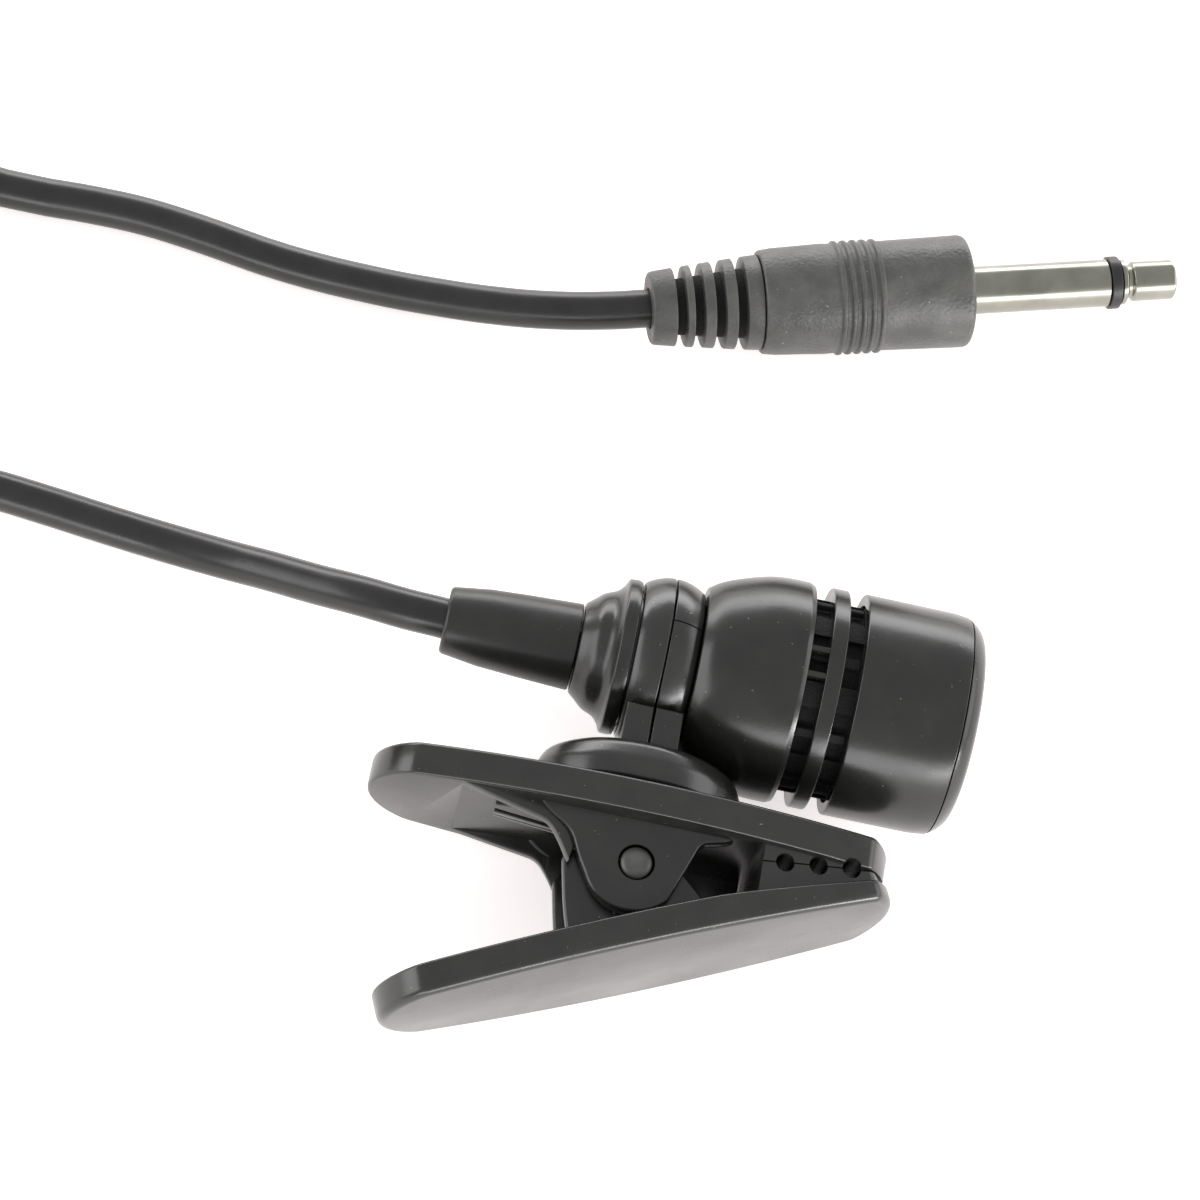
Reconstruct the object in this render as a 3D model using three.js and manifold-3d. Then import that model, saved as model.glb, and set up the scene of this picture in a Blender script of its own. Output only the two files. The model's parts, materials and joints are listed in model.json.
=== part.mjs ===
// Lavalier microphone with a sprung lapel clip, a lead and a 3.5 mm plug.
// Millimetres, +Z up. The object lies on its side on a surface at z = 0: the
// microphone head rests on its barrel and the clip on the edge of its lower arm.
// +X runs towards the microphone's front and the jaws of the clip.
import * as THREE from 'three';
import { mergeVertices } from 'three/addons/utils/BufferGeometryUtils.js';
import Module from 'manifold-3d';

const wasm = await Module();
wasm.setup();

// ---- driving dimensions -------------------------------------------------------
const GAP = 0.1;               // clearance between pieces that touch
const ROUND = 32;              // segments around the large turned pieces
const SMALL_ROUND = 20;        // segments around the small turned pieces

// head: u runs along its axis from the middle of the holder ring
const HEAD_R = 7.55;
const HEAD_YAW = -13.2;        // degrees, axis against +X
const HEAD_CENTRE = [-0.92, 9.20];
const SHELL_WALL = 0.85;
const SLOT_1 = [9.1, 10.3];
const SLOT_2 = [11.4, 12.6];
const VENT_BARS = 8;
const CAGE_R = [6.2, 6.6];
const SEAM_U = 19.75;
const FRONT_U = 20.95;
const NECK_R = 4.5;
const NECK_BORE_R = 2.9;
const RING_HALF = 2.05;        // half the holder ring's length
const COLLAR_FRONT = -RING_HALF - 0.15;
const COLLAR_BACK = -5.65;
const RELIEF_BACK = -14.67;
const GRILLE_PITCH = 2.1;
const GRILLE_HOLE_R = 0.6;

// clip: x and y are measured from the pivot pin
const CLIP_ROLL = 2.4;         // degrees about the head's axis, until the clip lies down
const PIN_AT = [0.53, -15.52]; // from the head's axis, along it and across it
const ARM_GAP = 24.2;         // degrees between the two arms when the jaws are shut
const ARM_WIDTH = 13.3;
const ARM_REAR = -17.9;
const ARM_FRONT = 16.5;
const REAR_CORNER = -15.2;
const FRONT_CORNER = 15.0;
const ARM_BOW = 0.0078;        // how fast the width falls off with distance squared
const UPPER_FACE = [2.8, 5.0];
const LOWER_FACE = [-5.7, -3.6];
const UPPER_EAR_Z = [3.6, 4.5];
const LOWER_EAR_Z = [2.5, 3.4];
const BITE_SLOPE = 9.7;         // degrees, the shut jaws' meeting plane against the upper arm
const BITE_HEIGHT = 0.21;
const JAW_START = 7.9;
const TOOTH_HOLE_R = 0.62;
const TOOTH_PITCH = 2.2;
const FIRST_TOOTH = 9.35;
const PIN_R = 1.05;
const PIN_HOLE_R = 1.2;
const WIRE_R = 0.25;
const SPRING_R = 1.5;
const SPRING_TURNS = 4.5;

// swivel base between the ring and the upper arm
const BASE_R = 6.35;
const BASE_TOP = 3.55;
const BASE_STRETCH = 1.09;     // the base is longer than it is wide
const RIVET_R = 1.4;
const RIVET_HEAD_R = 2.3;

// plug: v runs along its axis from the barrel's front shoulder to the tip
const PLUG_AT = [23.93, 39.85, 4.56];
const PLUG_YAW = 3;
const PLUG_LIFT = 2.5;         // degrees, the tip stands a little off the surface
const BARREL_R = 4.08;
const GRIP_R = 3.98;
const BARREL_BACK = -15.2;
const BOOT_BACK = -23.2;
const BOOT_BACK_R = 2.6;
const BOOT_TAPER = 0.105;
const SLEEVE_R = 1.74;
const SLEEVE_END = 10.5;
const COLLAR_END = 11.4;
const TIP_END = 15.5;
const BOOT_GROOVES = [-21.1, -19.85, -18.35, -16.8];
const GRIP_RINGS = 5;
const FIRST_GRIP = -9.6;
const GRIP_PITCH = 0.7;

// cord
const CORD_R = 1.375;
const CORD_SIDES = 8;
const LEAD_STEPS = 16;
const COIL_CENTRE = [-70.30, 43.52];
const COIL_RADII = [10.85, 20.55];
const COIL_HEIGHT = [0.03, 11.25];
// route of the lead from the strain relief to the coil, on the surface
const MIC_LEAD = [
  [-15.55, 12.72, 7.55], [-17.7, 13.37, 7.4], [-20.7, 14.66, 6.7], [-23.7, 16.17, 5.3],
  [-26.6, 17.77, 3.85], [-29.6, 19.27, 2.5], [-33.6, 20.97, 1.55], [-37.7, 22.42, 1.4],
  [-41.8, 23.87, 1.4], [-45.9, 25.22, 1.4], [-49.9, 26.22, 1.4], [-54.2, 26.72, 1.4],
];
// route of the lead from the plug's boot to the coil
const PLUG_LEAD = [
  [0.43, 38.62, 3.53], [-1.8, 38.52, 3.4], [-6, 38.75, 2.9], [-10.1, 39.52, 2.1], [-14.3, 40.5, 1.5],
  [-18.6, 41.42, 1.4], [-25, 43.17, 1.4], [-31.4, 45.62, 1.4], [-37.8, 47.92, 1.4], [-44.2, 49.47, 1.6],
  [-47.5, 51.02, 2.7], [-50, 52.92, 4.1],
];

// ---- materials ----------------------------------------------------------------
const finishes = {
  shell: { color: 0x24262a, roughness: 0.42, metalness: 0 },
  clip: { color: 0x2b2a2c, roughness: 0.38, metalness: 0 },
  rubber: { color: 0x1d1e20, roughness: 0.6, metalness: 0 },
  plugBody: { color: 0x3e3e40, roughness: 0.7, metalness: 0 },
  cord: { color: 0x1b1c1c, roughness: 0.45, metalness: 0 },
  nickel: { color: 0xc9c5bc, roughness: 0.22, metalness: 1 },
  steel: { color: 0x8f9194, roughness: 0.35, metalness: 1 },
  brass: { color: 0xb08d4c, roughness: 0.35, metalness: 1 },
  foam: { color: 0x161617, roughness: 0.95, metalness: 0 },
  board: { color: 0x2f5a36, roughness: 0.6, metalness: 0 },
  red: { color: 0x8c1f1c, roughness: 0.5, metalness: 0 },
};

// ---- geometry helpers -----------------------------------------------------------
function clean(geometry) {
  const bare = geometry.clone();
  bare.deleteAttribute('normal');
  bare.deleteAttribute('uv');
  const merged = mergeVertices(bare, 1e-4);
  const kept = [];
  const index = merged.index.array;
  for (let i = 0; i < index.length; i += 3) {
    const [a, b, c] = [index[i], index[i + 1], index[i + 2]];
    if (a !== b && b !== c && c !== a) kept.push(a, b, c);
  }
  merged.setIndex(kept);
  return merged;
}

function toSolid(geometry) {
  const merged = clean(geometry);
  return new wasm.Manifold(new wasm.Mesh({
    numProp: 3,
    vertProperties: new Float32Array(merged.attributes.position.array),
    triVerts: new Uint32Array(merged.index.array),
  }));
}

function toGeometry(solid) {
  const mesh = solid.getMesh();
  const geometry = new THREE.BufferGeometry();
  geometry.setAttribute('position', new THREE.BufferAttribute(new Float32Array(mesh.vertProperties), 3));
  geometry.setIndex(new THREE.BufferAttribute(new Uint32Array(mesh.triVerts), 1));
  return geometry;
}

const unite = (first, ...rest) => rest.reduce((sum, item) => sum.add(item), first);
const cut = (first, ...rest) => rest.reduce((left, item) => left.subtract(item), first);

// a solid turned about the x axis from [x, radius] points
function turned(profile, segments = ROUND) {
  const points = profile.map(([x, r]) => new THREE.Vector2(r, x));
  return new THREE.LatheGeometry(points, segments).rotateZ(-Math.PI / 2);
}

// a tube about the x axis: its outer [x, radius] points and one bore radius
function sleeve(outer, bore, segments = ROUND) {
  const first = outer[0];
  const last = outer[outer.length - 1];
  return turned([[first[0], bore], ...outer, [last[0], bore], [first[0], bore]], segments);
}

function shapeOf(points) {
  return new THREE.Shape(points.map(([x, y]) => new THREE.Vector2(x, y)));
}

// a side view in x and y, extruded between two z
function sideSolid(shape, z0, z1, curveSegments = 12) {
  const options = { depth: z1 - z0, bevelEnabled: false, curveSegments };
  return toSolid(new THREE.ExtrudeGeometry(shape, options).translate(0, 0, z0));
}

// a plan view in x and z, extruded between two y
function planSolid(shape, y0, y1) {
  const options = { depth: y1 - y0, bevelEnabled: false };
  return toSolid(new THREE.ExtrudeGeometry(shape, options).rotateX(Math.PI / 2).translate(0, y1, 0));
}

function box(x, y, z) {
  const geometry = new THREE.BoxGeometry(x[1] - x[0], y[1] - y[0], z[1] - z[0]);
  return toSolid(geometry.translate((x[0] + x[1]) / 2, (y[0] + y[1]) / 2, (z[0] + z[1]) / 2));
}

// a round bar along z at a place in x and y
function barZ(x, y, radius, halfLength, segments = SMALL_ROUND) {
  const geometry = new THREE.CylinderGeometry(radius, radius, 2 * halfLength, segments);
  return toSolid(geometry.rotateX(Math.PI / 2).translate(x, y, 0));
}

function tube(points, radius, sides, steps) {
  const section = new THREE.Shape();
  for (let i = 0; i < sides; i += 1) {
    const angle = (2 * Math.PI * i) / sides;
    const corner = [radius * Math.cos(angle), radius * Math.sin(angle)];
    if (i === 0) section.moveTo(...corner);
    else section.lineTo(...corner);
  }
  const path = new THREE.CatmullRomCurve3(points.map((p) => new THREE.Vector3(...p)), false, 'centripetal');
  return new THREE.ExtrudeGeometry(section, { steps, extrudePath: path, bevelEnabled: false });
}

function piece(parent, name, shape, finish) {
  const geometry = shape instanceof THREE.BufferGeometry ? clean(shape) : toGeometry(shape);
  const mesh = new THREE.Mesh(geometry, new THREE.MeshStandardMaterial(finishes[finish]));
  mesh.name = name;
  parent.add(mesh);
  return mesh;
}

const radians = THREE.MathUtils.degToRad;

// ---- microphone head ------------------------------------------------------------
function rearShell() {
  const outer = [
    [-3.2, NECK_R], [RING_HALF + 0.1, NECK_R], [RING_HALF + 0.1, 5.75], [2.85, 6.25], [3.5, 6.56], [4.8, 7.04],
    [6.15, 7.42], [7.2, HEAD_R], [SLOT_1[0], HEAD_R],
  ];
  const cavityR = HEAD_R - SHELL_WALL;
  const inner = [
    [SLOT_1[0], cavityR], [6.6, cavityR], [4.4, 5.6], [3.3, NECK_BORE_R], [-3.2, NECK_BORE_R],
  ];
  return turned([...outer, ...inner, outer[0]]);
}

function frontShell() {
  const outer = [[SLOT_2[1], HEAD_R], [18.9, HEAD_R], [SEAM_U, 7.4]];
  return sleeve(outer, HEAD_R - SHELL_WALL + 0.05);
}

function frontGrille() {
  const cavityR = HEAD_R - SHELL_WALL - GAP;
  const rim = [
    [18.9, 6.1], [18.9, cavityR], [SEAM_U + GAP, cavityR], [SEAM_U + GAP, 7.3], [20.3, 7.0], [20.75, 6.5],
    [FRONT_U, 5.9], [FRONT_U, 0], [20.1, 0], [20.1, 6.1], [18.9, 6.1],
  ];
  let solid = toSolid(turned(rim));
  const hole = new THREE.CylinderGeometry(GRILLE_HOLE_R, GRILLE_HOLE_R, 3, 10).rotateZ(Math.PI / 2);
  for (let ring = 0; ring <= 2; ring += 1) {
    const count = Math.max(1, 6 * ring);
    for (let i = 0; i < count; i += 1) {
      const angle = (2 * Math.PI * i) / count;
      const at = [FRONT_U - 0.5, ring * GRILLE_PITCH * Math.cos(angle), ring * GRILLE_PITCH * Math.sin(angle)];
      solid = cut(solid, toSolid(hole.clone().translate(...at)));
    }
  }
  return solid;
}

// an inner sleeve with one rib ring, cut through by windows between the bars
function ventCage() {
  const [inner, outer] = CAGE_R;
  let solid = toSolid(sleeve([
    [7.8, outer], [SLOT_1[1], outer], [SLOT_1[1], HEAD_R - 0.05], [SLOT_2[0], HEAD_R - 0.05],
    [SLOT_2[0], outer], [14, outer],
  ], inner));
  const bars = [];
  for (let i = 0; i < VENT_BARS; i += 1) {
    const turn = (2 * Math.PI * i) / VENT_BARS;
    for (const slot of [SLOT_1, SLOT_2]) {
      const window = new THREE.BoxGeometry(slot[1] - slot[0], 3.4, 3);
      window.translate((slot[0] + slot[1]) / 2, 0, HEAD_R - 1).rotateX(turn);
      solid = cut(solid, toSolid(window));
    }
    const bar = new THREE.BoxGeometry(SLOT_2[1] - SLOT_1[0] - 2 * GAP, 0.8, 0.7);
    bar.translate((SLOT_1[0] + SLOT_2[1]) / 2, 0, 6.85).rotateX(turn + Math.PI / VENT_BARS);
    bars.push(toSolid(bar));
  }
  return unite(solid, ...bars);
}

function rearCollar() {
  return turned([
    [COLLAR_BACK, 1.7], [COLLAR_BACK, 3.05], [-5.2, 3.4], [-4.6, 3.95], [-3.7, 4.3], [-3.3, 4.75], [-3.1, 5.25],
    [-2.5, 5.3], [COLLAR_FRONT, 5.2], [COLLAR_FRONT, NECK_R + 0.12], [-3.35, NECK_R + 0.12], [-3.35, 3.3],
    [-4.5, 3.3], [-4.5, 1.7], [COLLAR_BACK, 1.7],
  ]);
}

// moulded on the cord: its inner flange sits in the collar and keeps it from pulling out
function strainRelief() {
  return turned([
    [RELIEF_BACK, 0], [RELIEF_BACK, 2.2], [-14.4, 2.42], [-12, 2.62], [-9.4, 2.78], [COLLAR_BACK - GAP, 2.95],
    [COLLAR_BACK - GAP, 1.55], [-4.4, 1.55], [-4.4, 2.7], [-3.5, 2.7], [-3.5, 0],
  ], 24);
}

function buildHead(parent) {
  piece(parent, 'rear_shell', rearShell(), 'shell');
  piece(parent, 'front_shell', frontShell(), 'shell');
  piece(parent, 'front_grille', frontGrille(), 'shell');
  piece(parent, 'vent_cage', ventCage(), 'shell');
  piece(parent, 'vent_cloth', sleeve([[8.6, 6.1], [12.8, 6.1]], 5.9, 24), 'foam');
  piece(parent, 'front_foam', turned([[18.6, 0], [18.6, 5.95], [19.9, 5.95], [19.9, 0]], 24), 'foam');
  piece(parent, 'capsule_boot', sleeve([[13.0, 6.0], [17.2, 6.0]], 5.0, 24), 'rubber');
  piece(parent, 'capsule_can', turned([[12.4, 0], [12.4, 4.4], [12.7, 4.85], [17.6, 4.85], [17.6, 0]], 24), 'nickel');
  piece(parent, 'capsule_felt', turned([[17.75, 0], [17.75, 4.6], [18.15, 4.6], [18.15, 0]], 20), 'foam');
  piece(parent, 'capsule_board', turned([[11.5, 0], [11.5, 4.3], [12.2, 4.3], [12.2, 0]], 20), 'board');
  piece(parent, 'rear_collar', rearCollar(), 'shell');
  piece(parent, 'strain_relief', strainRelief(), 'rubber');
  const wireEnds = { signal_wire: 0.9, ground_wire: -0.9 };
  for (const [name, side] of Object.entries(wireEnds)) {
    const route = [[-3.3, 0.5 * side, 0], [1, side, 0.6], [6, 1.6 * side, -0.6], [11.3, 1.5 * side, 0]];
    piece(parent, name, tube(route, 0.35, 6, 10), name === 'signal_wire' ? 'red' : 'rubber');
  }
}

// ---- holder: split ring on a round swivel base ---------------------------------------
function ringHalf(front) {
  const side = front ? 1 : -1;
  const start = front ? 0 : -GAP;
  const skin = [[start, 5.9], [0.55 * side, 5.87], [1.1 * side, 5.7], [1.65 * side, 5.45], [RING_HALF * side, 5.2]];
  const outer = front ? skin : skin.reverse();
  const ring = toSolid(sleeve(outer, NECK_R + 0.12));
  const faceY = PIN_AT[1] + UPPER_FACE[1];
  const spanX = front ? [0, 1.9] : [-1.9, -GAP];
  const foot = box(spanX, [faceY + 2.85, -4.6], [-4.2, 4.2]);
  const bore = toSolid(turned([[-4, 0], [-4, NECK_R + 0.12], [4, NECK_R + 0.12], [4, 0]]));
  return cut(unite(ring, foot), bore);
}

// the base stands on the upper arm's outer face, its axis through the ring's middle
function swivelBase() {
  const dome = new THREE.LatheGeometry([
    [0, GAP], [BASE_R - 0.15, GAP], [BASE_R, 0.3], [BASE_R, 1.1], [6.1, 1.9], [5.5, 2.7], [4.6, 3.3], [3.2, 3.6],
    [0, BASE_TOP],
  ].map(([r, y]) => new THREE.Vector2(r, y)), ROUND);
  const pocket = box([-2.05, 2.05], [2.75, 5], [-4.35, 4.35]);
  const socket = new THREE.CylinderGeometry(RIVET_R + GAP, RIVET_R + GAP, 4, SMALL_ROUND);
  return cut(toSolid(dome.scale(BASE_STRETCH, 1, 1)), pocket, toSolid(socket)).translate(0, PIN_AT[1] + UPPER_FACE[1], 0);
}

function swivelRivet() {
  const faceY = PIN_AT[1] + UPPER_FACE[1];
  const profile = [[0, -2.05], [RIVET_HEAD_R, -2.05], [RIVET_HEAD_R, -1.5], [RIVET_R, -1.35], [RIVET_R, 1.85], [0, 1.85]];
  const geometry = new THREE.LatheGeometry(profile.map(([r, y]) => new THREE.Vector2(r, y)), SMALL_ROUND);
  return geometry.translate(0, faceY, 0);
}

function buildHolder(parent) {
  piece(parent, 'ring_rear_half', ringHalf(false), 'clip');
  piece(parent, 'ring_front_half', ringHalf(true), 'clip');
  piece(parent, 'swivel_base', swivelBase(), 'clip');
  piece(parent, 'swivel_rivet', swivelRivet(), 'steel');
}

// ---- clip ---------------------------------------------------------------------------
function halfWidth(x, inset) {
  const middle = (REAR_CORNER + FRONT_CORNER) / 2;
  return ARM_WIDTH / 2 - ARM_BOW * (x - middle) ** 2 - inset;
}

// the end of an arm is an arc through its two corners and its tip
function endArc(corner, tip, inset, steps = 6) {
  const half = halfWidth(corner, inset);
  const rise = Math.abs(tip - corner) - inset;
  const radius = (half ** 2 + rise ** 2) / (2 * rise);
  const reach = Math.asin(half / radius);
  const side = Math.sign(tip - corner);
  const points = [];
  for (let i = 1; i < steps; i += 1) {
    const angle = reach * (1 - (2 * i) / steps) * side;
    const x = corner + side * (rise - radius + radius * Math.cos(angle));
    points.push([x, -radius * Math.sin(angle)]);
  }
  return points;
}

function armOutline(inset = 0, steps = 8) {
  const side = [];
  for (let i = 0; i <= steps; i += 1) {
    const x = REAR_CORNER + ((FRONT_CORNER - REAR_CORNER) * i) / steps;
    side.push([x, halfWidth(x, inset)]);
  }
  const near = side.map(([x, z]) => [x, -z]);
  const far = side.slice().reverse();
  const front = endArc(FRONT_CORNER, ARM_FRONT, inset);
  const rear = endArc(REAR_CORNER, ARM_REAR, inset);
  return shapeOf([...near, ...front.map(([x, z]) => [x, z]), ...far, ...rear]);
}

function upperEar() {
  const shape = new THREE.Shape();
  shape.moveTo(-5.1, 3.2);
  shape.absarc(-0.1, 0, 3.25, radians(200), radians(320), false);
  shape.lineTo(4.5, 3.2);
  shape.closePath();
  return shape;
}

function lowerEar() {
  const shape = new THREE.Shape();
  shape.moveTo(-5.3, -3.9);
  shape.lineTo(4.4, -3.9);
  shape.absarc(0, 0, 2.45, radians(30), radians(128), false);
  shape.lineTo(-4.5, 0.3);
  shape.closePath();
  return shape;
}

// the meeting plane of the jaws, as a slab reaching away from it on one side
function biteSlab(side) {
  const slope = Math.tan(radians(BITE_SLOPE));
  const edge = (x) => BITE_HEIGHT + slope * x + side * GAP / 2;
  const deep = side * 12;
  return sideSolid(shapeOf([
    [JAW_START, edge(JAW_START)], [20, edge(20)], [20, edge(20) + deep], [JAW_START, edge(JAW_START) + deep],
  ]), -8, 8);
}

function toothHoles() {
  const slope = Math.tan(radians(BITE_SLOPE));
  const holes = [];
  for (let i = 0; i < 3; i += 1) {
    const x = FIRST_TOOTH + i * TOOTH_PITCH;
    holes.push(barZ(x, BITE_HEIGHT + slope * x, TOOTH_HOLE_R, 8, 14));
  }
  return holes;
}

function rearRib(side) {
  const shape = shapeOf([[-13.3, 3.0], [-4.6, 0.9], [-4.6, 3.0]]);
  const rib = new THREE.ExtrudeGeometry(shape, { depth: 0.8, bevelEnabled: false }).translate(4.6, 0, -0.4);
  rib.rotateY(side * radians(7.5)).translate(-4.6, 0, side * 3.95);
  return toSolid(rib);
}

function earPair(shape, span) {
  return unite(sideSolid(shape, span[0], span[1]), sideSolid(shape, -span[1], -span[0]));
}

function upperArm() {
  const plate = planSolid(armOutline(), UPPER_FACE[0], UPPER_FACE[1]);
  const jaw = planSolid(armOutline(0.45), 0, UPPER_FACE[0] + 0.2).intersect(biteSlab(1));
  const baseX = -PIN_AT[0];
  const hole = new THREE.CylinderGeometry(RIVET_R + 0.15, RIVET_R + 0.15, 8, SMALL_ROUND);
  const recess = new THREE.CylinderGeometry(RIVET_HEAD_R + 0.2, RIVET_HEAD_R + 0.2, 2, SMALL_ROUND);
  recess.translate(0, UPPER_FACE[0] - 1 + 0.85, 0);
  return cut(
    unite(plate, jaw, earPair(upperEar(), UPPER_EAR_Z), rearRib(1), rearRib(-1)),
    toSolid(hole.translate(baseX, UPPER_FACE[1], 0)),
    toSolid(recess.translate(baseX, 0, 0)),
    biteSlab(-1).translate(0, GAP, 0),
    barZ(0, 0, PIN_HOLE_R, 8),
    ...toothHoles(),
  );
}

// drawn in the upper arm's frame for the jaws, then in its own frame for the rest
function lowerArm() {
  const back = -ARM_GAP;
  const plate = planSolid(armOutline(), LOWER_FACE[0], LOWER_FACE[1]);
  const jaw = planSolid(armOutline(0.45), LOWER_FACE[1] - 0.2, 1);
  const slab = biteSlab(-1).rotate([0, 0, back]);
  const above = biteSlab(1).translate(0, -GAP, 0).rotate([0, 0, back]);
  const holes = toothHoles().map((hole) => hole.rotate([0, 0, back]));
  return cut(
    unite(plate, jaw.intersect(slab), earPair(lowerEar(), LOWER_EAR_Z)),
    above,
    barZ(0, 0, PIN_HOLE_R, 8),
    ...holes,
  );
}

function pivotPin() {
  const half = UPPER_EAR_Z[1] + 0.15;
  return turned([[-half, 0], [-half, 0.8], [0.2 - half, PIN_R], [half - 0.2, PIN_R], [half, 0.8], [half, 0]], SMALL_ROUND)
    .rotateY(Math.PI / 2);
}

// a torsion spring: one leg lies along each arm's inner face, behind the pin
function torsionSpring() {
  const legEnd = 9.5;
  const [cosGap, sinGap] = [Math.cos(radians(ARM_GAP)), Math.sin(radians(ARM_GAP))];
  const spin = (x, y) => [x * cosGap - y * sinGap, x * sinGap + y * cosGap];
  const halfZ = 1.7;
  const points = [];
  points.push([...spin(-legEnd, -3.15), -halfZ], [...spin(-legEnd / 2, -2.35), -halfZ]);
  const start = -90 + ARM_GAP;
  const steps = Math.round(SPRING_TURNS * 12);
  const sweep = 180 - ARM_GAP + 360 * Math.floor(SPRING_TURNS);
  for (let i = 0; i <= steps; i += 1) {
    const angle = radians(start + (sweep * i) / steps);
    const z = -halfZ + (2 * halfZ * i) / steps;
    points.push([SPRING_R * Math.cos(angle), SPRING_R * Math.sin(angle), z]);
  }
  points.push([-legEnd / 2, 2.0, halfZ], [-legEnd, 2.42, halfZ]);
  return tube(points, WIRE_R, 6, 80);
}

function buildClip(parent) {
  piece(parent, 'upper_arm', upperArm(), 'clip');
  piece(parent, 'pivot_pin', pivotPin(), 'steel');
  piece(parent, 'torsion_spring', torsionSpring(), 'steel');
  const lower = new THREE.Group();
  lower.rotation.z = radians(ARM_GAP);
  parent.add(lower);
  piece(lower, 'lower_arm', lowerArm(), 'clip');
}

// ---- plug ------------------------------------------------------------------------------
function plugBarrel() {
  const grips = [];
  for (let i = 0; i < GRIP_RINGS; i += 1) {
    const v = FIRST_GRIP + i * GRIP_PITCH;
    grips.push([v - 0.2, GRIP_R], [v - 0.1, GRIP_R + 0.12], [v + 0.1, GRIP_R + 0.12], [v + 0.2, GRIP_R]);
  }
  const outer = [
    [BARREL_BACK, 2.8], [BARREL_BACK, 3.7], [BARREL_BACK + 1, 3.82], [BARREL_BACK + 3, 3.9], [-10.6, GRIP_R],
    ...grips, [-0.6, BARREL_R], [-0.15, BARREL_R - 0.2], [0, BARREL_R - 0.5],
  ];
  const inner = [
    [0, SLEEVE_R + 0.15], [-1.2, SLEEVE_R + 0.15], [-1.2, 3.0], [BARREL_BACK + 1.9, 3.0], [BARREL_BACK + 1.9, 2.8],
  ];
  return turned([...outer, ...inner, outer[0]], 28);
}

// the boot tapers back along the cord and is ringed so that it can flex
function plugBoot() {
  const radiusAt = (v) => BOOT_BACK_R + (v - BOOT_BACK) * BOOT_TAPER;
  const outer = [[BOOT_BACK, 0], [BOOT_BACK, BOOT_BACK_R - 0.25], [BOOT_BACK + 0.25, BOOT_BACK_R]];
  for (const v of BOOT_GROOVES) {
    const r = radiusAt(v);
    outer.push([v - 0.3, r], [v - 0.22, r - 0.5], [v + 0.22, r - 0.5], [v + 0.3, r + 0.04]);
  }
  const front = BARREL_BACK - GAP;
  outer.push([front, radiusAt(front)], [front, 2.7], [front + 1.8, 2.7], [front + 1.8, 0]);
  return turned(outer, 24);
}

function plugSleeve() {
  return turned([
    [-2.3, 1.3], [-2.3, 2.7], [-1.4, 2.7], [-1.4, SLEEVE_R], [SLEEVE_END - 0.1, SLEEVE_R], [SLEEVE_END, 1.6],
    [SLEEVE_END, 1.3], [-2.3, 1.3],
  ], 24);
}

function plugInsulator() {
  return turned([
    [-3.4, 0.8], [-3.4, 1.2], [SLEEVE_END + 0.05, 1.2], [SLEEVE_END + 0.05, 1.75], [COLLAR_END, 1.75],
    [COLLAR_END, 0.8], [-3.4, 0.8],
  ], 24);
}

function plugTip() {
  return turned([
    [-4.4, 0], [-4.4, 0.7], [COLLAR_END + 0.05, 0.7], [COLLAR_END + 0.05, 1.62], [11.8, 1.62], [11.95, 1.2],
    [12.2, 1.2], [12.4, 1.45], [15.2, 1.45], [TIP_END, 1.2], [TIP_END, 0],
  ], 24);
}

function buildPlug(parent) {
  piece(parent, 'plug_barrel', plugBarrel(), 'plugBody');
  piece(parent, 'plug_boot', plugBoot(), 'plugBody');
  piece(parent, 'plug_sleeve', plugSleeve(), 'nickel');
  piece(parent, 'plug_insulator', plugInsulator(), 'rubber');
  piece(parent, 'plug_tip', plugTip(), 'nickel');
  piece(parent, 'plug_ground_lug', box([-9.5, -2.4], [-1.1, 1.1], [-2.6, -2.2]), 'brass');
  piece(parent, 'plug_tip_lug', box([-8, -4.5], [-0.7, 0.7], [-0.2, 0.2]), 'brass');
}

// ---- cord ------------------------------------------------------------------------------
function buildCord(parent) {
  piece(parent, 'cord_mic_side', tube(MIC_LEAD, CORD_R, CORD_SIDES, LEAD_STEPS), 'cord');
  piece(parent, 'cord_plug_side', tube(PLUG_LEAD, CORD_R, CORD_SIDES, LEAD_STEPS), 'cord');
  const [inner, outer] = COIL_RADII;
  const [low, high] = COIL_HEIGHT;
  const ring = [[inner, low], [outer, low], [outer, high], [inner, high], [inner, low]];
  const coil = new THREE.LatheGeometry(ring.map(([r, z]) => new THREE.Vector2(r, z)), 40).rotateX(Math.PI / 2);
  piece(parent, 'cord_coil', coil, 'cord').position.set(...COIL_CENTRE, 0);
}

// ---- assembly ----------------------------------------------------------------------------
const body = new THREE.Group();
const head = new THREE.Group();
head.position.set(...HEAD_CENTRE, HEAD_R);
head.rotation.z = radians(HEAD_YAW);
body.add(head);
buildHead(head);

const holder = new THREE.Group();
holder.rotation.x = radians(CLIP_ROLL);
head.add(holder);
buildHolder(holder);

const clip = new THREE.Group();
clip.position.set(...PIN_AT, 0);
holder.add(clip);
buildClip(clip);

const lead = new THREE.Group();
buildCord(lead);
const plug = new THREE.Group();
plug.position.set(...PLUG_AT);
plug.rotation.set(0, -radians(PLUG_LIFT), radians(PLUG_YAW), 'ZYX');
lead.add(plug);
buildPlug(plug);

const microphone = new THREE.Group();
microphone.add(body, lead);
export default microphone;
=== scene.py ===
"""A lavalier microphone on a pale surface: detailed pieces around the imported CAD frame.

Local sizes are in millimetres in the frame of each assembly (head, holder, clip, plug),
and a matrix built from the record's joints and mounts carries them to the row frame.
"""

import json
import math

import bmesh
import bpy
from mathutils import Matrix, Vector


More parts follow.
